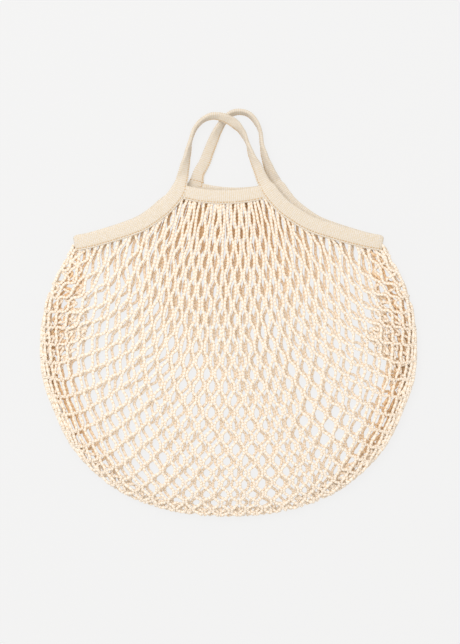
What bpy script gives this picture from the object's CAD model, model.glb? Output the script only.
"""A cotton string shopping bag, lying flat, seen straight from above."""
import math

import bpy
import numpy as np
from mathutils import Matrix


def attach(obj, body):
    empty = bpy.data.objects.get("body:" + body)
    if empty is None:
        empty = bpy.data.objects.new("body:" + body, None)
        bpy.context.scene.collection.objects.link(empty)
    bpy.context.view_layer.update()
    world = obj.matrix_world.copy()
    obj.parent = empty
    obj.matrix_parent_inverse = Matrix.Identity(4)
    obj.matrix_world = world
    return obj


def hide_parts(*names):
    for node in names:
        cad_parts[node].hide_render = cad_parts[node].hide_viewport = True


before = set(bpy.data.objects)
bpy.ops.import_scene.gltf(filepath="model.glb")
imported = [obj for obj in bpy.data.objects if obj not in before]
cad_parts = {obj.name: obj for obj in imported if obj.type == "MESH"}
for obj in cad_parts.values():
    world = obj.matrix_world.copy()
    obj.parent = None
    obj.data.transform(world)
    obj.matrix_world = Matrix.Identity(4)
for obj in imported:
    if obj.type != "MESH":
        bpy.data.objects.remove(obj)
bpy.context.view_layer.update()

# The view. The camera looks straight down on the bag from high above, as a catalogue
# picture is taken, so that the picture takes in 0.491 by 0.687 m of the surface.
PICTURE_WIDTH = 0.4907
PICTURE_CENTRE = (0.0016, -0.0100)
CAMERA_HEIGHT = 3.0
NET_HEIGHT = 0.011
SENSOR_WIDTH = 36.0


def new_object(name, data):
    """An object that shows data, joined to the scene."""
    made = bpy.data.objects.new(name, data)
    bpy.context.scene.collection.objects.link(made)
    return made


camera = new_object("overhead_camera", bpy.data.cameras.new("overhead_camera"))
camera.location = (*PICTURE_CENTRE, CAMERA_HEIGHT)
camera.data.sensor_fit = "HORIZONTAL"
camera.data.sensor_width = SENSOR_WIDTH
camera.data.lens = SENSOR_WIDTH * (CAMERA_HEIGHT - NET_HEIGHT) / PICTURE_WIDTH
camera.data.clip_end = 20.0
bpy.context.scene.camera = camera
bpy.context.scene.view_settings.view_transform = "Standard"


# The surface and the light. A sheet of matt white paper, lit so evenly that the bag
# leaves only a breath of shade on it, with one broad soft light from the upper left.
def linear(colour):
    """An sRGB hex colour as linear red, green, blue and 1: each channel c is
    ((c + 0.055) / 1.055) ** 2.4, or c / 12.92 where it is very dark."""
    parts = [int(colour[place:place + 2], 16) / 255 for place in (1, 3, 5)]
    return [c / 12.92 if c <= 0.04045 else ((c + 0.055) / 1.055) ** 2.4 for c in parts] + [1.0]


def new_material(name):
    """A node material with nothing in it yet."""
    material = bpy.data.materials.new(name)
    material.use_nodes = True
    material.node_tree.nodes.clear()
    return material


def add_node(material, kind, settings=(), values=(), **links):
    """Adds a node. settings are its properties, values its sockets' own values, and
    links joins its sockets (a space written as _) to other nodes' output sockets."""
    node = material.node_tree.nodes.new(kind)
    for name, value in dict(settings).items():
        setattr(node, name, value)
    for name, value in dict(values).items():
        node.inputs[name].default_value = value
    for name, source in links.items():
        socket = int(name[1:]) if name[1:].isdigit() else name.replace("_", " ")
        material.node_tree.links.new(source, node.inputs[socket])
    return node


def add_surface(material, values, **links):
    """Adds the surface shader with its values and links, and joins it to the output."""
    face = add_node(material, "ShaderNodeBsdfPrincipled", values=values, **links)
    add_node(material, "ShaderNodeOutputMaterial", Surface=face.outputs["BSDF"])


def add_ramp(material, source, stops):
    """Adds a ramp from one colour to another, each stop a position and a hex colour,
    and gives the colour that comes out of it."""
    ramp = add_node(material, "ShaderNodeValToRGB", _0=source)
    for element, (position, colour) in zip(ramp.color_ramp.elements, stops):
        element.position = position
        element.color = linear(colour)
    return ramp.outputs["Color"]


# Matt paper: its own glow stands for the even light that the studio throws under the bag.
# It lies half a millimetre down, so that the lowest cords stay clear of it.
PAPER_HEIGHT = -0.0005
PAPER_REACH = 3
WORLD_COLOUR = (1.0, 0.96, 0.91, 1.0)
WORLD_STRENGTH = 0.86
SOFTBOX_PLACE = (-0.6, 0.8, 1.6)
SOFTBOX_SIZE = 1.2
SOFTBOX_POWER = 17.0

paper = new_material("matt_white_paper")
add_surface(paper, {
    "Base Color": linear("#4a4a4a"), "Roughness": 0.95, "Specular IOR Level": 0.1,
    "Emission Color": (1.0, 1.0, 1.0, 1.0), "Emission Strength": 0.815})

paper_corners = [(x * PAPER_REACH, y * PAPER_REACH, PAPER_HEIGHT)
                 for x, y in ((-1, -1), (1, -1), (1, 1), (-1, 1))]
floor_mesh = bpy.data.meshes.new("paper_floor")
floor_mesh.from_pydata(paper_corners, [], [(0, 1, 2, 3)])
floor_mesh.materials.append(paper)
floor = new_object("paper_floor", floor_mesh)

world = bpy.data.worlds.new("soft_studio")
world.use_nodes = True
world_light = world.node_tree.nodes["Background"].inputs
world_light["Color"].default_value = WORLD_COLOUR
world_light["Strength"].default_value = WORLD_STRENGTH
bpy.context.scene.world = world

aside, ahead, high = SOFTBOX_PLACE
softbox = new_object("softbox", bpy.data.lights.new("softbox", "AREA"))
softbox.data.shape = "SQUARE"
softbox.data.size = SOFTBOX_SIZE
softbox.data.energy = SOFTBOX_POWER
softbox.location = SOFTBOX_PLACE
softbox.rotation_euler = (-math.atan2(math.hypot(aside, ahead), high), 0.0, math.atan2(-aside, ahead))


# The two long tapes. Each is one strip of rib-knitted cotton tape, folded double over the
# net's edge: it binds one shoulder, turns on its edge as the free handle and binds the
# other shoulder. Sizes are in millimetres, with Y from the pouch's bottom fold.
BOTTOM_LINE = -216.93
CORNER_SPAN = 330
BOTTOM_TO_CORNER = 291
CORNER_TO_MOUTH = 56
TAPE_WIDTH = 17
TAPE_HEIGHT = 4.6
MOUTH_SAG = 7

# From the shoulder's corner (0, 0) to its mouth end (1, 1): share inward, share up
SHOULDER = [
    (0, 0), (0.13, 0.045), (0.27, 0.118), (0.45, 0.226), (0.64, 0.366), (0.775, 0.535), (0.89, 0.72)]

# A handle's rows: share across the mouth, share of the rise, width, thickness, degrees
# that the strap leans from lying flat, and its lowest edge above the surface
FRONT = {
    "mouth_span": 97, "mouth_middle": -5, "mouth_shift": 0,
    "rise": 79.5, "left_end": 1, "right_end": 1,
    "mouth_lift": 10, "corner_lift": 4.9, "net_lift": 10,
    "handle": [
        (-0.923, 0.141, 13, 3.6, 4, 9.6), (-0.868, 0.302, 11.8, 3.6, 36, 7.5),
        (-0.802, 0.49, 11, 3.8, 64, 4), (-0.736, 0.678, 10.5, 4, 88, 2),
        (-0.637, 0.839, 10.2, 4, 82, 2.5), (-0.462, 0.953, 10.2, 4, 76, 5),
        (-0.242, 1, 10.2, 4, 60, 10.4), (0, 0.976, 10.4, 4, 42, 11.8),
        (0.22, 0.906, 10.4, 4, 26, 10), (0.396, 0.799, 10.2, 4, 64, 5),
        (0.527, 0.638, 10.4, 4, 89, 2.5), (0.615, 0.477, 11, 3.8, 66, 4),
        (0.747, 0.302, 11.8, 3.6, 34, 7.5), (0.879, 0.114, 13.4, 3.6, 4, 9.6)],
}
BACK = {
    "mouth_span": 90.5, "mouth_middle": 8, "mouth_shift": 3.2,
    "rise": 81.5, "left_end": 1.365, "right_end": 1,
    "mouth_lift": 0, "corner_lift": 0, "net_lift": 0,
    "handle": [
        (-0.871, 0.203, 12.8, 3.6, 6, 0), (-0.741, 0.333, 12.2, 3.6, 12, 0),
        (-0.635, 0.49, 11.6, 3.8, 16, 0), (-0.541, 0.621, 11.2, 3.8, 22, 0),
        (-0.435, 0.752, 10.8, 4, 44, 0), (-0.306, 0.869, 10.4, 4, 60, 0),
        (-0.118, 0.974, 10.2, 4, 68, 0), (0.094, 1, 10.2, 4, 72, 0),
        (0.306, 0.967, 10.2, 4, 74, 0), (0.471, 0.869, 10.2, 4, 78, 0),
        (0.576, 0.739, 10.2, 4, 89, 0), (0.612, 0.582, 10.6, 4, 86, 0),
        (0.682, 0.412, 11.2, 3.8, 62, 0), (0.8, 0.229, 12, 3.6, 36, 0),
        (0.929, 0.072, 13.4, 3.6, 6, 0)],
}
LAYERS = (("front", FRONT), ("back", BACK))

# The folded tape across its run, from the edge at the net, over the top, round the
# outer fold and back: share of half the width (towards the net), share of half the
# thickness. The dip at 0.74 is where the seam pulls the two leaves together.
TAPE_PROFILE = np.array([
    (0.80, 0.04), (0.97, 0.10), (1.0, 0.34), (0.985, 0.66), (0.93, 0.88), (0.86, 0.92), (0.79, 0.86),
    (0.74, 0.72), (0.69, 0.87), (0.60, 0.95), (0.30, 1.0), (-0.20, 1.0), (-0.62, 0.96), (-0.85, 0.84),
    (-0.96, 0.58), (-1.0, 0.2)])
TAPE_PROFILE = np.concatenate([TAPE_PROFILE, TAPE_PROFILE[::-1] * (1, -1)])

RIB_PITCH = 2.1
COLUMN_PITCH = 1.6
RINGS_PER_RIB = 4
FINE_STATIONS = 4000

# How much a handle's first and last row still bind, how far a rib stands out of a face,
# the share of it that is left where the tape is sewn down, and how far the ribs scallop
# the edges: everywhere, and how much more on a free strap
FOOT_BINDING = 0.3
RIB_RELIEF = 0.2
SEWN_RIB_SHARE = 0.35
EDGE_SCALLOP = 0.12
FREE_SCALLOP = 0.36

# A tape's rounded end: how long it is, and the shares of width and thickness at its tip
END_REACH = 5.5
END_WIDTH = 0.62
END_THICKNESS = 0.16

# Millimetres of cloth for each unit of the UV map, and how many radians a wave texture of
# scale 1 runs through in such a unit
UV_UNIT = 10
WAVE_RADIANS = 20


def tape_rows(layer):
    """Every measured row of a long tape: x, y, width, thickness, lean, lift and how much
    it is a shoulder binding (1) or a free strap (0). Shoulder rows stand at the mix of
    corner and mouth end by their shares, and their lift goes evenly between the two."""
    half = layer["mouth_span"] / 2
    middle = layer["mouth_middle"]
    rise = CORNER_TO_MOUTH + layer["mouth_shift"]
    mouth_line = BOTTOM_TO_CORNER + rise
    inward, up = np.array(SHOULDER + [(1, 1)]).T
    share = np.arange(len(inward)) / (len(inward) - 1)
    lift = layer["corner_lift"] + (layer["mouth_lift"] - layer["corner_lift"]) * share
    same = np.ones_like(inward)

    def shoulder(side, reach):
        corner = side * CORNER_SPAN / 2
        end = np.where(share < 1, middle + side * half * reach, middle + side * half)
        return np.stack([corner + (end - corner) * inward, BOTTOM_TO_CORNER + rise * up,
                         same * TAPE_WIDTH, same * TAPE_HEIGHT, 0 * same, lift, same], axis=1)

    across, climb, width, thick, lean, low = np.array(layer["handle"]).T
    binding = np.zeros_like(across)
    binding[[0, -1]] = FOOT_BINDING
    handle = np.stack([middle + across * half, mouth_line + climb * layer["rise"],
                       width, thick, lean, low, binding], axis=1)
    left, right = shoulder(-1, layer["left_end"]), shoulder(1, layer["right_end"])
    return np.concatenate([left, handle, right[::-1]])


def curve_through(points, stations):
    """A smooth curve through points, one unit of station from each to the next: between
    two points a cubic, whose end slopes come from the neighbours, weighed by the square
    root of the distance between points, so that it never loops or overshoots."""
    points = np.concatenate([[2 * points[0] - points[1]], points, [2 * points[-1] - points[-2]]])
    gap = np.linalg.norm(np.diff(points, axis=0), axis=1) ** 0.5
    row = np.clip(np.floor(stations).astype(int), 0, len(points) - 4)
    part = (stations - row)[:, None]
    a, b, c, d = (points[row + step] for step in range(4))
    before, here, after = (gap[row + step][:, None] for step in range(3))
    slope_b = ((b - a) / before - (c - a) / (before + here) + (c - b) / here) * here
    slope_c = ((c - b) / here - (d - b) / (here + after) + (d - c) / after) * here
    return (b + slope_b * part + (3 * (c - b) - 2 * slope_b - slope_c) * part ** 2
            + (2 * (b - c) + slope_b + slope_c) * part ** 3)


def tape_line(layer, stations):
    """Middle line and cross-section sizes of a long tape at fractional rows. Sizes ease
    between rows by 3t² - 2t³, the lift goes straight, and the middle stands above its
    lowest edge by half the width times sin(lean) plus half the thickness times cos(lean)."""
    rows = tape_rows(layer)
    stations = np.clip(stations, 0, len(rows) - 1)
    row = np.minimum(np.floor(stations).astype(int), len(rows) - 2)
    part = stations - row
    eased = (part * part * (3 - 2 * part))[:, None]
    sizes = rows[row, 2:] + (rows[row + 1, 2:] - rows[row, 2:]) * eased
    width, thick, lean, _, binding = sizes.T
    lift = rows[row, 5] + (rows[row + 1, 5] - rows[row, 5]) * part
    lean = np.radians(lean)
    place = curve_through(rows[:, :2], stations)
    height = lift + width / 2 * np.sin(lean) + thick / 2 * np.cos(lean)
    return np.column_stack([place, height]), width, thick, lean, binding


def even_stations(layer, step):
    """Stations along a long tape that lie step millimetres apart, with the distance of
    each from the left corner: lengths are added up finely, then read back evenly."""
    fine = np.linspace(0, len(tape_rows(layer)) - 1, FINE_STATIONS)
    line = tape_line(layer, fine)[0]
    travelled = np.concatenate([[0], np.cumsum(np.linalg.norm(np.diff(line, axis=0), axis=1))])
    along = np.linspace(0, travelled[-1], int(travelled[-1] / step) + 1)
    return np.interp(along, travelled, fine), along


def run_of(line):
    """Unit direction of each point of a line, from its two neighbours."""
    run = np.gradient(line, axis=-2)
    return run / np.linalg.norm(run, axis=-1, keepdims=True)


def strap_axes(line, lean):
    """Directions of a strap at each of its points: along its run, across it and out of
    its upper face. Across is level at lean 0, and tips down towards the net's side as
    the strap leans."""
    run = run_of(line)
    level = np.stack([run[:, 1], -run[:, 0], 0 * lean], axis=1)
    level /= np.linalg.norm(level, axis=1, keepdims=True)
    up = np.array([0, 0, 1.0])
    sine, cosine = np.sin(lean)[:, None], np.cos(lean)[:, None]
    return run, level * cosine - up * sine, level * sine + up * cosine


def corners_between(values, both):
    """The values at the four corners of each face between two rings that are both kept:
    this ring and the next, at one point round them and at the point beside it."""
    beside = np.roll(values, -1, axis=2)
    corners = [values[:, :-1], beside[:, :-1], beside[:, 1:], values[:, 1:]]
    return np.stack(corners, axis=-1)[both].reshape(-1, 4)


def new_mesh(name, points, corners, sizes, uv):
    """A mesh from its points in metres, the point at each corner of its faces, each
    face's number of corners, and the place of each corner in the UV map."""
    mesh = bpy.data.meshes.new(name)
    mesh.vertices.add(len(points))
    mesh.vertices.foreach_set("co", points.ravel())
    mesh.loops.add(len(corners))
    mesh.loops.foreach_set("vertex_index", corners.astype(np.int32))
    mesh.polygons.add(len(sizes))
    mesh.polygons.foreach_set("loop_start", (np.cumsum(sizes) - sizes).astype(np.int32))
    mesh.polygons.foreach_set("loop_total", sizes.astype(np.int32))
    mesh.polygons.foreach_set("use_smooth", np.ones(len(sizes), bool))
    mesh.uv_layers.new(name="cloth").data.foreach_set("uv", uv.ravel())
    return mesh


def sleeve(name, rings, along, around, alive=None, inner=None):
    """A mesh of closed tubes. rings holds [tube, ring, point round it, xyz] in
    millimetres from the bottom fold. Four-sided faces join each ring to the next, one
    flat face closes each end, and all are turned outwards by the sign of the volume.
    The UV map holds the distance along the tube and the place round it, and the point
    attribute inner whatever is handed in by that name. Rings not alive are left out."""
    tubes, count, sides, _ = rings.shape
    alive = np.ones((tubes, count), bool) if alive is None else alive
    both = alive[:, :-1] & alive[:, 1:]
    index = np.arange(tubes * count * sides).reshape(tubes, count, sides)
    quads = corners_between(index, both)
    along = along if np.ndim(along) == 3 else np.asarray(along)[..., None]
    u = corners_between(np.broadcast_to(along, index.shape), both)
    v = np.stack([around[:-1], around[1:], around[1:], around[:-1]], axis=-1)
    v = np.tile(v, (int(both.sum()), 1))
    starts = alive & ~np.pad(alive, ((0, 0), (1, 0)))[:, :-1]
    ends = alive & ~np.pad(alive, ((0, 0), (0, 1)))[:, 1:]
    caps = np.concatenate([index[starts][:, ::-1], index[ends]])
    points = rings.reshape(-1, 3)
    first, second, third, fourth = points[quads.T]
    if (first * (np.cross(second, third) + np.cross(third, fourth))).sum() < 0:
        quads, u, v, caps = quads[:, ::-1], u[:, ::-1], v[:, ::-1], caps[:, ::-1]
    used = np.zeros(len(points), bool)
    used[quads.ravel()] = True
    corners = (np.cumsum(used) - 1)[np.concatenate([quads.ravel(), caps.ravel()])]
    sizes = np.concatenate([np.full(len(quads), 4), np.full(len(caps), sides)])
    uv = np.zeros((len(corners), 2))
    uv[:quads.size] = np.stack([u.ravel(), v.ravel()], axis=1) / UV_UNIT
    mesh = new_mesh(name, (points[used] + (0, BOTTOM_LINE, 0)) / 1000, corners, sizes, uv)
    if inner is not None:
        shade = mesh.attributes.new("inner", "FLOAT", "POINT")
        shade.data.foreach_set("value", inner.reshape(-1)[used])
    mesh.update(calc_edges=True)
    mesh.validate()
    return new_object(name, mesh)


def tape_rings(line, width, thick, lean, binding, along):
    """The profile carried along the tape: each point is the middle + a * across + b * out
    of the face. Ribs add a cosine of the distance along to both: to a by the fourth power
    of the place across, which scallops the edges, and more to both on a free strap."""
    _, across, over = strap_axes(line, lean)
    to_edge, to_face = TAPE_PROFILE.T
    rib = np.cos(2 * np.pi * along / RIB_PITCH)[:, None]
    free = 1 - binding[:, None]
    scallop = np.abs(to_edge) ** 4 * rib * (EDGE_SCALLOP + FREE_SCALLOP * free)
    relief = rib * RIB_RELIEF * (SEWN_RIB_SHARE + (1 - SEWN_RIB_SHARE) * free)
    a = to_edge * (width[:, None] / 2 + scallop)
    b = to_face * (thick[:, None] / 2 + relief)
    return line[:, None] + a[..., None] * across[:, None] + b[..., None] * over[:, None]


def close_end(width, thick, along):
    """Rounds a tape's two ends: over the end's reach the width and the thickness fall
    off as a quarter circle, to their shares at the tip."""
    inside = np.clip(np.minimum(along, along[-1] - along) / END_REACH, 0, 1)
    round_off = np.sqrt(1 - (1 - inside) ** 2)
    return (width * (END_WIDTH + (1 - END_WIDTH) * round_off),
            thick * (END_THICKNESS + (1 - END_THICKNESS) * round_off))


def wave_scale(pitch):
    """Scale of a wave texture whose bands come every pitch millimetres: the bands in a
    unit of the UV map, times the 2 pi radians of each, over the radians at scale 1."""
    return UV_UNIT / pitch * 2 * math.pi / WAVE_RADIANS


# Undyed rib-knitted cotton tape: matt, pale cream, with fine ribs across its run every
# 2.1 mm and the finer columns of the knitting along it, a little browner in the grooves
tape_cotton = new_material("undyed_rib_knitted_cotton_tape")
cloth_uv = add_node(tape_cotton, "ShaderNodeUVMap", settings={"uv_map": "cloth"})
rib_wave = add_node(tape_cotton, "ShaderNodeTexWave",
                    settings={"bands_direction": "X", "wave_profile": "SIN"},
                    values={"Scale": wave_scale(RIB_PITCH), "Distortion": 2.5, "Detail": 3.0,
                            "Detail Scale": 3.0}, Vector=cloth_uv.outputs["UV"])
column_wave = add_node(tape_cotton, "ShaderNodeTexWave",
                       settings={"bands_direction": "Y", "wave_profile": "SIN"},
                       values={"Scale": wave_scale(COLUMN_PITCH), "Distortion": 3.0, "Detail": 3.0,
                               "Detail Scale": 3.0}, Vector=cloth_uv.outputs["UV"])
knit = add_node(tape_cotton, "ShaderNodeMath", settings={"operation": "MULTIPLY"},
                _0=rib_wave.outputs["Fac"], _1=column_wave.outputs["Fac"])
tape_place = add_node(tape_cotton, "ShaderNodeTexCoord")
tape_mottle = add_node(tape_cotton, "ShaderNodeTexNoise", values={"Scale": 420.0, "Detail": 4.0},
                       Vector=tape_place.outputs["Object"])
tape_shade = add_node(tape_cotton, "ShaderNodeMath", settings={"operation": "MULTIPLY_ADD"},
                      values={1: 0.5}, _0=tape_mottle.outputs["Fac"], _2=knit.outputs["Value"])
tape_colour = add_ramp(tape_cotton, tape_shade.outputs["Value"], ((0.15, "#dac9ab"), (0.75, "#e9e4df")))
tape_bump = add_node(tape_cotton, "ShaderNodeBump", values={"Strength": 0.7, "Distance": 0.0005},
                     Height=knit.outputs["Value"])
add_surface(tape_cotton, {"Roughness": 0.92, "IOR": 1.5, "Specular IOR Level": 0.2, "Sheen Weight": 0.15,
                          "Sheen Roughness": 0.5},
            Base_Color=tape_colour, Normal=tape_bump.outputs["Normal"])


def around_shares(profile):
    """Distance round a closed outline at each of its points and back at the first."""
    edge = np.diff(np.concatenate([profile, profile[:1]]), axis=0)
    return np.concatenate([[0], np.cumsum(np.hypot(*edge.T))])


tape_around = around_shares(TAPE_PROFILE * (TAPE_WIDTH / 2, TAPE_HEIGHT / 2))
for side, layer in LAYERS:
    stations, along = even_stations(layer, RIB_PITCH / RINGS_PER_RIB)
    line, width, thick, lean, binding = tape_line(layer, stations)
    width, thick = close_end(width, thick, along)
    rings = tape_rings(line, width, thick, lean, binding, along)
    tape = sleeve(f"long_tape_{side}", rings[None], along, tape_around)
    tape.data.materials.append(tape_cotton)
    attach(tape, "root")
    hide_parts(f"handle_tape_{side}")


# The two mouth tapes. Each is a shorter, slightly narrower strip of the same tape, folded
# over the gathered top of the net, with its two ends tucked into the long tape's fold.
MOUTH_TAPE_WIDTH = 15
END_TUCK = 4.5

# The tucked end is pressed thinner: over how long a stretch, and to what share
PRESSED_REACH = 7
PRESSED_SHARE = 0.45


def mouth_line(layer, share):
    """The mouth's line: straight from leg to leg, with a sag of 4s(1 - s)."""
    across = layer["mouth_middle"] + layer["mouth_span"] * (share - 0.5)
    top = BOTTOM_TO_CORNER + CORNER_TO_MOUTH + layer["mouth_shift"]
    height = np.full_like(share, layer["mouth_lift"] + TAPE_HEIGHT / 2)
    return np.column_stack([across, top - MOUTH_SAG * 4 * share * (1 - share), height])


for side, layer in LAYERS:
    reach = (TAPE_WIDTH / 2 - END_TUCK) / layer["mouth_span"]
    rings_along = int(layer["mouth_span"] * RINGS_PER_RIB / RIB_PITCH)
    share = np.linspace(reach, 1 - reach, rings_along)
    line = mouth_line(layer, share)
    along = share * layer["mouth_span"]
    same = np.ones_like(share)
    from_end = np.minimum(share - reach, 1 - reach - share) * layer["mouth_span"]
    full = np.clip(from_end / PRESSED_REACH, 0, 1)
    thick = TAPE_HEIGHT * (PRESSED_SHARE + (1 - PRESSED_SHARE) * full)
    rings = tape_rings(line, same * MOUTH_TAPE_WIDTH, thick, 0 * same, same, along)
    tape = sleeve(f"short_tape_{side}", rings[None], along, tape_around)
    tape.data.materials.append(tape_cotton)
    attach(tape, "root")
    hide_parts(f"mouth_tape_{side}")


# The seams. A row of lockstitches in thick cotton thread runs 2 mm in from the tape's
# edge at the net, on both faces, and holds the two leaves and the net between them.

# A stitch: how far it is to the next one, its length, how finely it is drawn, how far its
# middle stands up, its radius there, the distance round it in the UV map, and the share
# of the radius that is left at its tips
STITCH_PITCH = 3.0
STITCH_LENGTH = 2.3
STITCH_RINGS = 5
STITCH_SIDES = 6
STITCH_BOW = 0.3
THREAD = 0.42
THREAD_ROUND = 2.1
TIP_SHARE = 0.35

# Where the seam runs, as shares of half the tape's width and of half its thickness, and
# how much of the mouth's span is left free of stitches at each end
SEAM_SHARE = 0.74
SEAM_DEPTH = 0.80
SEAM_MARGIN = 0.1


def stitches(name, line, width, thick, lean, face):
    """One small spindle for each stitch: its radius follows a half sine along its length,
    and it is bowed up a little in the middle. It lies in the seam's dip."""
    run, across, over = strap_axes(line, lean)
    seam = line + across * (width[:, None] / 2 * SEAM_SHARE) + over * (thick[:, None] / 2 * SEAM_DEPTH * face)
    t = np.linspace(0, 1, STITCH_RINGS)
    bow = np.sin(np.pi * t)
    turn = np.linspace(0, 2 * np.pi, STITCH_SIDES + 1)[:-1]
    centre = seam[:, None] + run[:, None] * ((t - 0.5) * STITCH_LENGTH)[:, None]
    centre = centre + over[:, None] * (bow * STITCH_BOW * face)[:, None]
    radius = THREAD * (TIP_SHARE + (1 - TIP_SHARE) * bow)
    ring = np.cos(turn)[:, None] * across[:, None, None] + np.sin(turn)[:, None] * over[:, None, None]
    rings = centre[:, :, None] + ring * radius[:, None, None]
    return sleeve(name, rings, t * STITCH_LENGTH, np.linspace(0, THREAD_ROUND, STITCH_SIDES + 1))


# Cotton sewing thread: the tape's own colour, denser and so browner, with a slanting twist
thread_cotton = new_material("undyed_cotton_sewing_thread")
thread_uv = add_node(thread_cotton, "ShaderNodeUVMap", settings={"uv_map": "cloth"})
thread_turn = add_node(thread_cotton, "ShaderNodeMapping", values={"Rotation": (0.0, 0.0, 0.6)},
                       Vector=thread_uv.outputs["UV"])
thread_ply = add_node(thread_cotton, "ShaderNodeTexWave", values={"Scale": 6.0, "Distortion": 0.4},
                      Vector=thread_turn.outputs["Vector"])
thread_bump = add_node(thread_cotton, "ShaderNodeBump", values={"Strength": 0.4, "Distance": 0.0002},
                       Height=thread_ply.outputs["Fac"])
thread_colour = add_ramp(thread_cotton, thread_ply.outputs["Fac"], ((0.0, "#c99f69"), (1.0, "#e3c697")))
add_surface(thread_cotton, {"Roughness": 0.85, "IOR": 1.5, "Specular IOR Level": 0.3},
            Base_Color=thread_colour, Normal=thread_bump.outputs["Normal"])

for side, layer in LAYERS:
    stations, _ = even_stations(layer, STITCH_PITCH)
    line, width, thick, lean, _ = tape_line(layer, stations[1:-1])
    count = int(layer["mouth_span"] * (1 - 2 * SEAM_MARGIN) / STITCH_PITCH)
    share = np.linspace(SEAM_MARGIN, 1 - SEAM_MARGIN, count)
    short_line = mouth_line(layer, share)
    same = np.ones_like(share)
    for face_name, face in (("top", 1), ("under", -1)):
        for seam in (
                stitches(f"long_seam_{side}_{face_name}", line, width, thick, lean, face),
                stitches(f"short_seam_{side}_{face_name}", short_line, same * MOUTH_TAPE_WIDTH,
                         same * TAPE_HEIGHT, 0 * same, face)):
            seam.data.materials.append(thread_cotton)
            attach(seam, "root")


# Where the back handle's left leg leaves the binding, a short row of the same stitches
# runs straight across it, at this height above the bottom fold.
BACK_TACK = 358
TACK_STITCHES = 5
TACK_SHARE = 0.85
LEG_ROWS = 6

climb = np.linspace(0, len(SHOULDER) + LEG_ROWS, 2000)
station = np.interp(BACK_TACK, tape_line(BACK, climb)[0][:, 1], climb)
line, width, thick, _, _ = tape_line(BACK, np.array([station - 0.01, station]))
run = run_of(line)[1]
spread = np.linspace(-TACK_SHARE, TACK_SHARE, TACK_STITCHES)[:, None] * width[1] / 2
tack_line = line[1] + spread * np.array([run[1], -run[0], 0]) + (0, 0, thick[1] / 2)
level = np.zeros(TACK_STITCHES)
tack = stitches("tack_seam_back", tack_line, level, level, level, 1)
tack.data.materials.append(thread_cotton)
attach(tack, "root")


# The net. Each layer is knitted from soft cotton cords that zigzag from the mouth and the
# shoulders to the bottom fold: each joins its left neighbour at one row and its right one
# at the next. The layers meet round the sides and the bottom, where the net crowds.
BAG_WIDTH = 400
CORDS = 64
LAST_ROW = 26

# A cord: its oval, the loops that swell it and how late they swell its two edges, and
# how finely it is drawn
CORD_HALF_WIDTH = 1.55
CORD_HALF_DEPTH = 1.15
CORD_ROUND = 7.2
LOOPS_PER_ROW = 4
LOOP_LENGTH = 4.0
LOOP_SWELL = 0.13
LOOP_SLANT = 0.35
RINGS_PER_LOOP = 4
SIDES = 7

# Down the middle of a layer: row, height above the bottom fold, distance between two
# neighbouring knots of that row
NET_ROWS = np.array([
    (-1, 347, 6.9), (0, 332.8, 7.15), (2, 301.9, 8.5), (4, 270.9, 9.8), (6, 240, 10.8), (8, 209.1, 11.6),
    (10, 179.2, 12.9), (12, 149.9, 14.7), (14, 122.1, 16.1), (16, 94.9, 17.2), (18, 69.3, 18.0),
    (20, 44.3, 18.6), (22, 20.3, 18.9), (24, 0, 19.2), (26, -20, 19.4)])

# The side fold from a corner down to the bottom fold: share of half the bag's width,
# share of the depth below the corner, and how much spare net is gathered there, in mm
SIDE_FOLD = np.array([
    (0.824, 0, 32), (0.885, 0.08, 52), (0.949, 0.168, 72), (0.984, 0.256, 88), (1, 0.377, 110),
    (0.987, 0.495, 120), (0.928, 0.612, 108), (0.848, 0.729, 82), (0.736, 0.824, 46), (0.60, 0.90, 32),
    (0.44, 0.953, 24), (0.22, 0.99, 20), (0, 1, 20)])

# How far in from the fold the net is gathered, the share of the spare net that crowds
# there, and how fully the rest turns back inwards
CROWD_REACH = 46
CROWDED_SHARE = 0.4
TUCK_SHARE = 0.8

# The height at which the two layers are joined, how far in from the fold the net is
# rounded, and how much of the way to that height its outer side has come at the fold
FOLD_MIDDLE = 6
FOLD_ROUND = 14
FOLD_RISE = 0.45

# How far from a tape's middle line the net still lies at the tape's height, and how far
# from it the net has eased to its layer's own height
SEAT_REACH = 22
EASE_REACH = 60

# A cord's swing from knot to knot: how far its wave is flattened, how closely two cords
# press together, as a share of their width, and the least swing left to a crowded one
SWING_FLATNESS = 1.3
KNOT_SHARE = 0.94
LEAST_SWING = 0.02

# The rows bend up towards the sides: by how much at the bottom, how much more at the
# mouth, over how many rows that fades, at what distance from the middle, and its power
BEND_BELOW = 48
BEND_ABOVE = 331
BEND_FADE = 4.5
BEND_DISTANCE = 177
BEND_POWER = 2.8

# Unevenness of the knots in millimetres, and the seed of each layer's random offsets
UNEVENNESS = 1.25
SEEDS = {"front": 11, "back": 23}

# The back layer's slide to the side, as a share of a mesh and how much that varies, and
# the fixed slide near the mouth, which it eases to between two heights above the fold
MESH_SLIDE = 0.5
MESH_SLIDE_VARIES = 0.26
MOUTH_SLIDE = 4.6
SLIDE_EASES = (225, 300)

# Heights: how far each layer sags towards the other, how high crowded cords pile up,
# between which two depths in from the fold that fades, and over how many rows a cord
# sinks at the bottom fold
LAYER_SAG = 1.2
PILE_HEIGHT = 0.9
PILE_EASES = (8, 40)
LAST_ROUND = 0.8

# Each cord piles up by the golden angle from the one before it, so that neighbours
# differ, and by a little more each row, but not this close to a tape
PILE_TURN = 2.399
PILE_DRIFT = 0.21
TAPE_CLEAR = 20

# How finely the fold line, a long tape and the mouth are followed
FOLD_POINTS = 240
TAPE_POINTS = 160
MOUTH_POINTS = 12


def smooth(value, start, end):
    """Goes from 0 at start to 1 at end as 3t² - 2t³."""
    t = np.clip((value - start) / (end - start), 0, 1)
    return t * t * (3 - 2 * t)


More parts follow.
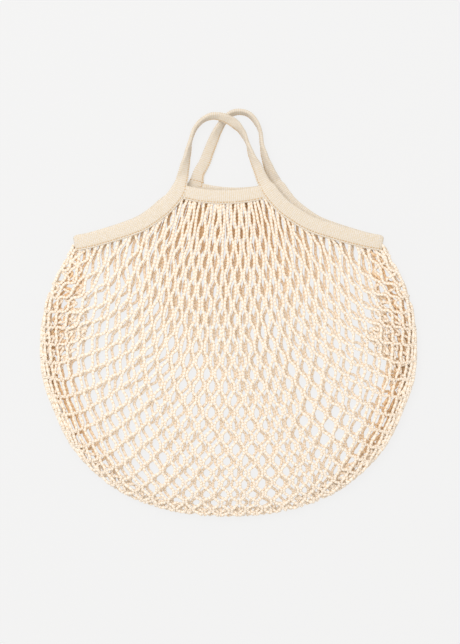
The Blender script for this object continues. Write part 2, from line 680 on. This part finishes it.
def outline():
    """The fold line all round, from the left corner down, along the bottom and up to the
    right corner, with the net's spare width beyond each of its points."""
    table = np.column_stack([SIDE_FOLD[:, 0] * BAG_WIDTH / 2, (1 - SIDE_FOLD[:, 1]) * BOTTOM_TO_CORNER,
                             SIDE_FOLD[:, 2]])
    both = np.concatenate([table * (-1, 1, 1), table[-2::-1]])
    return curve_through(both, np.linspace(0, len(both) - 1, FOLD_POINTS))


def from_line(points, line):
    """How far each of points lies from a broken line, positive on the left of its run,
    and the fractional place along the line of the point nearest to it."""
    start, run = line[:-1, :2], np.diff(line[:, :2], axis=0)
    offset = points[..., None, :] - start
    part = np.clip((offset * run).sum(-1) / (run ** 2).sum(-1), 0, 1)
    away = offset - part[..., None] * run
    distance = np.hypot(away[..., 0], away[..., 1])
    best = distance.argmin(-1)

    def pick(values):
        return np.take_along_axis(values, best[..., None], -1)[..., 0]

    cross = pick(run[:, 0] * away[..., 1] - run[:, 1] * away[..., 0])
    return pick(distance) * np.where(cross < 0, -1, 1), best + pick(part)


def at_place(line, place):
    """The values of a broken line at fractional places along it."""
    row = np.clip(place.astype(int), 0, len(line) - 2)
    part = (place - row)[..., None]
    return line[row] * (1 - part) + line[row + 1] * part


def lattice(column, row):
    """Where a knot lies in its layer: x is the column times the row's knot distance, and
    the row bends up towards the sides by a power of x, least at the bottom fold."""
    middle = np.interp(row, NET_ROWS[:, 0], NET_ROWS[:, 1])
    step = np.interp(row, NET_ROWS[:, 0], NET_ROWS[:, 2])
    x = column * step
    bend = BEND_BELOW + BEND_ABOVE * np.exp(-row / BEND_FADE)
    return np.stack([x, middle + bend * (np.abs(x) / BEND_DISTANCE) ** BEND_POWER], axis=-1), step


def uneven(column, row, seed):
    """Small hand-laid unevenness: random offsets at each knot, mixed in between."""
    table = np.random.default_rng(seed).normal(0, UNEVENNESS, (2 * CORDS + 4, LAST_ROW + 4, 2))
    a = np.clip(2 * column + CORDS, 0, 2 * CORDS + 2)
    b = np.clip(row + 1, 0, LAST_ROW + 2)
    a0, b0 = a.astype(int), b.astype(int)
    fa, fb = (a - a0)[..., None], (b - b0)[..., None]
    return (table[a0, b0] * (1 - fa) * (1 - fb) + table[a0 + 1, b0] * fa * (1 - fb)
            + table[a0, b0 + 1] * (1 - fa) * fb + table[a0 + 1, b0 + 1] * fa * fb)


def drift(points, step, layer_name):
    """How a layer has slid from its even lattice, by slow waves in x and y. The front
    layer's are small. The back layer lies about half a mesh aside, so that its cords
    cross the front layer's meshes, and eases to one fixed slide towards the mouth."""
    x, y = points[..., 0], points[..., 1]
    if layer_name == "front":
        across = 1.5 * np.sin(y / 47 + 0.6) * np.cos(x / 61)
        return np.stack([across, 1.2 * np.sin(x / 53 + 1.1)], axis=-1)
    aside = step * (MESH_SLIDE + MESH_SLIDE_VARIES * np.sin(y / 50 + x / 38))
    across = aside + (MOUTH_SLIDE - aside) * smooth(y, *SLIDE_EASES)
    return np.stack([across, 2.0 * np.sin(y / 60) * np.cos(x / 80)], axis=-1)


fold_line = outline()


def tuck_in(points):
    """Gathers the net at the fold line. Depth d inside the line becomes R (1 - t)^p, with
    t from 0 at the reach R to 1 at the crowded share of the spare net, so that the cords
    close up and turn along the fold. What is left of the spare net turns back inwards.
    Gives the points, their depth, and how far back each has turned, from 0 to 1."""
    depth, place = from_line(points, fold_line)
    near = at_place(fold_line, place)
    run = at_place(run_of(fold_line[:, :2]), place)
    crowded = CROWDED_SHARE * near[..., 2]
    tucked = near[..., 2] - crowded
    t = np.clip((CROWD_REACH - depth) / (CROWD_REACH + crowded), 0, 1)
    squeezed = CROWD_REACH * (1 - t) ** ((CROWD_REACH + crowded) / CROWD_REACH)
    beyond = np.maximum(-crowded - depth, 0)
    moved = squeezed + TUCK_SHARE * beyond
    inward = (points - near[..., :2]) / np.where(np.abs(depth) < 0.01, 1, depth)[..., None]
    level = np.stack([-run[..., 1], run[..., 0]], axis=-1)
    weight = smooth(np.abs(depth), 0.5, 4)[..., None]
    inward = inward * weight + level * (1 - weight)
    beside = (depth < CROWD_REACH) & (place > 0.001) & (place < len(fold_line) - 1.001)
    points = np.where(beside[..., None], near[..., :2] + inward * moved[..., None], points)
    turned = np.clip(beyond / np.maximum(tucked, 1), 0, 1) * beside
    return points, np.where(beside, moved, np.abs(depth)), turned


def cord_paths(layer_name):
    """Middle lines of all cords of one layer, seen from above. A cord's column swings by
    a quarter either side of its own, as a triangle wave with flattened, rounded ends,
    less half a cord so that neighbours lie side by side at a knot. A cord is kept where
    the middle of its swing is still within the spare net."""
    rings = (LAST_ROW + 1) * LOOPS_PER_ROW * RINGS_PER_LOOP + 1
    row = np.linspace(-1, LAST_ROW, rings)[None]
    cord = np.arange(-CORDS // 2, CORDS // 2)[:, None]
    own_column = (2 * cord + 1) / 4
    swing = 1 - 2 * np.abs((row + 1) % 2 - 1)
    swing = np.sin(np.clip(SWING_FLATNESS * swing, -1, 1) * np.pi / 2)
    step = np.interp(row, NET_ROWS[:, 0], NET_ROWS[:, 2])
    reach = np.maximum(0.25 - CORD_HALF_WIDTH * KNOT_SHARE / step, LEAST_SWING)
    column = own_column + np.where(cord % 2 == 0, -1, 1) * swing * reach
    points, _ = lattice(column, row)
    rows = np.broadcast_to(row, column.shape)
    points = points + drift(points, step, layer_name)
    points = points + uneven(column, rows, SEEDS[layer_name])
    points, depth, turned = tuck_in(points)
    middle, _ = lattice(own_column + 0 * row, row)
    kept = tuck_in(middle + drift(middle, step, layer_name))[2] < 1
    return points, depth, turned, rows, cord, kept


def cord_heights(layer, points, depth, turned, rows, cord):
    """Height of each cord's middle: the binding's within the seat reach of a tape, then
    the layer's own. Towards the fold it rounds off as a quarter ellipse, and the tucked
    net goes on from there to the middle between the layers, where the two are joined."""
    stations = np.linspace(0, len(tape_rows(layer)) - 1, TAPE_POINTS)
    tape = tape_line(layer, stations)[0]
    mouth_left = len(SHOULDER)
    mouth_right = mouth_left + len(layer["handle"]) + 1
    left, right = tape[stations <= mouth_left], tape[stations >= mouth_right]
    mouth = mouth_line(layer, np.linspace(0, 1, MOUTH_POINTS))
    bound = np.concatenate([left, mouth[1:-1], right])
    distance, place = from_line(points, bound)
    seat = at_place(bound, place)[..., 2]
    own = layer["net_lift"] + CORD_HALF_DEPTH + (-LAYER_SAG if layer["net_lift"] else LAYER_SAG)
    flat = seat + (own - seat) * smooth(np.abs(distance), SEAT_REACH, EASE_REACH)
    at_fold = own + (FOLD_MIDDLE - own) * FOLD_RISE
    round_off = np.sqrt(1 - (1 - np.clip(depth / FOLD_ROUND, 0, 1)) ** 2)
    outer = at_fold + (flat - at_fold) * round_off
    inner = at_fold + (FOLD_MIDDLE - at_fold) * turned
    height = np.where(turned > 0, inner, outer)
    ends = np.sqrt(1 - (1 - np.clip((LAST_ROW - rows) / LAST_ROUND, 0, 1)) ** 2)
    pile = PILE_HEIGHT * (1 - smooth(depth, *PILE_EASES)) * (np.abs(distance) > TAPE_CLEAR)
    piled = np.sin(cord * PILE_TURN + rows * PILE_DRIFT) * pile
    return FOLD_MIDDLE + (height - FOLD_MIDDLE + piled) * ends, distance


def knitted_cord_rings(line, phase):
    """The cord's outline carried along: an oval, swollen and drawn in once a loop, with
    the swelling later towards its two edges, so that the loops read as small Vs. Gives
    the rings and each point's place in its loop."""
    run = run_of(line)
    left = np.stack([-run[..., 1], run[..., 0], 0 * run[..., 0]], axis=-1)
    left /= np.maximum(np.linalg.norm(left, axis=-1, keepdims=True), 1e-6)
    over = np.cross(run, left)
    turn = np.linspace(0, 2 * np.pi, SIDES + 1)[:-1]
    in_loop = phase[..., None] - LOOP_SLANT * np.abs(np.cos(turn))
    swell = 1 + LOOP_SWELL * np.cos(2 * np.pi * in_loop)
    a = (CORD_HALF_WIDTH * np.cos(turn) * swell)[..., None]
    b = (CORD_HALF_DEPTH * np.sin(turn) * swell)[..., None]
    return line[..., None, :] + a * left[..., None, :] + b * over[..., None, :], in_loop


# Soft undyed cotton cord: matt and fuzzy, pale cream on the crowns of its 4 mm loops and
# warm brown down between them, and on the faces that are turned into a crowd of other
# cords, where the light only arrives by way of other cotton
net_cotton = new_material("undyed_knitted_cotton_cord")
cord_uv = add_node(net_cotton, "ShaderNodeUVMap", settings={"uv_map": "cloth"})
cord_loop = add_node(net_cotton, "ShaderNodeTexWave",
                     settings={"bands_direction": "X", "wave_profile": "SIN"},
                     values={"Scale": wave_scale(LOOP_LENGTH), "Distortion": 1.6, "Detail": 2.0,
                             "Detail Scale": 2.5, "Phase Offset": math.pi}, Vector=cord_uv.outputs["UV"])
cord_turn = add_node(net_cotton, "ShaderNodeMapping", values={"Rotation": (0.0, 0.0, 0.6)},
                     Vector=cord_uv.outputs["UV"])
cord_ply = add_node(net_cotton, "ShaderNodeTexWave", settings={"bands_direction": "X"},
                    values={"Scale": 2.6, "Distortion": 1.5, "Detail": 2.0, "Detail Scale": 2.5},
                    Vector=cord_turn.outputs["Vector"])
cord_place = add_node(net_cotton, "ShaderNodeTexCoord")
cord_mottle = add_node(net_cotton, "ShaderNodeTexNoise", values={"Scale": 650.0, "Detail": 3.0},
                       Vector=cord_place.outputs["Object"])
cord_relief = add_node(net_cotton, "ShaderNodeMath", settings={"operation": "MULTIPLY_ADD"},
                       values={1: 0.35}, _0=cord_ply.outputs["Fac"], _2=cord_loop.outputs["Fac"])
cord_shade = add_node(net_cotton, "ShaderNodeMath", settings={"operation": "MULTIPLY_ADD"},
                      values={1: 0.9}, _0=cord_mottle.outputs["Fac"], _2=cord_relief.outputs["Value"])
cord_colour = add_ramp(net_cotton, cord_shade.outputs["Value"], ((0.4, "#e8cba3"), (1.0, "#faf1e5")))
cord_inner = add_node(net_cotton, "ShaderNodeAttribute", settings={"attribute_name": "inner"})
cord_warmth = add_node(net_cotton, "ShaderNodeMix",
                       settings={"data_type": "RGBA", "blend_type": "MULTIPLY"},
                       values={7: linear("#f6d9ae")}, _0=cord_inner.outputs["Fac"], _6=cord_colour)
cord_bump = add_node(net_cotton, "ShaderNodeBump", values={"Strength": 0.7, "Distance": 0.0005},
                     Height=cord_relief.outputs["Value"])
add_surface(net_cotton, {"Roughness": 0.95, "IOR": 1.5, "Specular IOR Level": 0.15, "Sheen Weight": 0.2,
                         "Sheen Roughness": 0.5, "Sheen Tint": linear("#f6e4c8")},
            Base_Color=cord_warmth.outputs[2], Normal=cord_bump.outputs["Normal"])

# Below this row no tape is near, and each cord's loops start a share later than those of
# the cord before it
FREE_ROW = 12
LOOP_SHIFT = 0.37

# How warm the inward faces are: everywhere, and how much more in a crowd
INNER_EVERYWHERE = 0.1
INNER_CROWDED = 0.75

# Where cords crowd, each between two lengths in millimetres: off the middle, where the
# crowd at the fold starts and where it ends, and at the mouth by the rows' knot distance
CROWD_OFF_MIDDLE = (100, 175)
CROWD_STARTS = (2, 12)
CROWD_ENDS = (14, 44)
CROWD_STEP = (7, 13)

for side, layer in LAYERS:
    points, depth, turned, rows, cord, kept = cord_paths(side)
    height, from_tape = cord_heights(layer, points, depth, turned, rows, cord)
    line = np.concatenate([points, height[..., None]], axis=-1)
    below_tape = (from_tape < 0) | (rows > FREE_ROW)
    below_tape = np.cumprod(below_tape[:, ::-1], axis=1)[:, ::-1].astype(bool)
    alive = below_tape & kept
    phase = (rows + 1) * LOOPS_PER_ROW + cord * LOOP_SHIFT
    rings, in_loop = knitted_cord_rings(line, phase)
    along = in_loop * LOOP_LENGTH
    around = np.linspace(0, CORD_ROUND, SIDES + 1)
    step = np.interp(rows, NET_ROWS[:, 0], NET_ROWS[:, 2])
    at_side = smooth(np.abs(points[..., 0]), *CROWD_OFF_MIDDLE)
    at_side = at_side * smooth(depth, *CROWD_STARTS) * (1 - smooth(depth, *CROWD_ENDS))
    crowding = np.maximum(1 - smooth(step, *CROWD_STEP), at_side)[..., None]
    outward = np.sin(np.linspace(0, 2 * np.pi, SIDES + 1)[:-1]) * (1 if side == "front" else -1)
    inner = (INNER_EVERYWHERE + INNER_CROWDED * crowding) * (0.5 - 0.5 * outward)
    for half, chosen in (("left", cord[:, 0] < 0), ("right", cord[:, 0] >= 0)):
        net = sleeve(f"net_{side}_{half}", rings[chosen], along[chosen], around, alive[chosen],
                     inner[chosen])
        net.data.materials.append(net_cotton)
        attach(net, "root")
        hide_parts("net_body")
